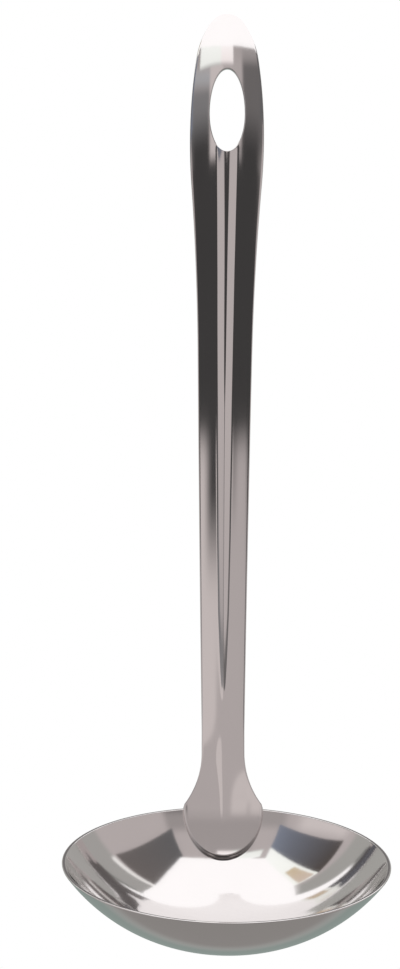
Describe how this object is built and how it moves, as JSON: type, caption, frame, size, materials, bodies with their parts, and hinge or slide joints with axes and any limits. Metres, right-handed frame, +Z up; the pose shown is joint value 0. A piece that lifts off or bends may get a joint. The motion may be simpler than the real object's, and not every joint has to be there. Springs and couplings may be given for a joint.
{
  "type": "soup ladle",
  "caption": "Pressed stainless steel soup ladle: a shallow round bowl on a long ribbed handle that hangs from an oval eye.",
  "frame": {"origin": "top of the hanging eye, where a hook bears, in the middle of the handle's sheet", "axes": "+Z up with the ladle hanging plumb, +Y away from the viewer through the eye, so that the bowl opens towards -Y, +X to the viewer's right"},
  "size_m": [0.0956, 0.088, 0.3018],
  "materials": {
    "bowl_steel": "polished stainless steel",
    "handle_steel": "polished stainless steel",
    "weld_steel": "fused steel inside the joint, out of sight"
  },
  "bodies": {
    "root": {"bowl": "bowl_steel", "handle": "handle_steel", "spot_welds": "weld_steel"}
  },
  "joints": []
}
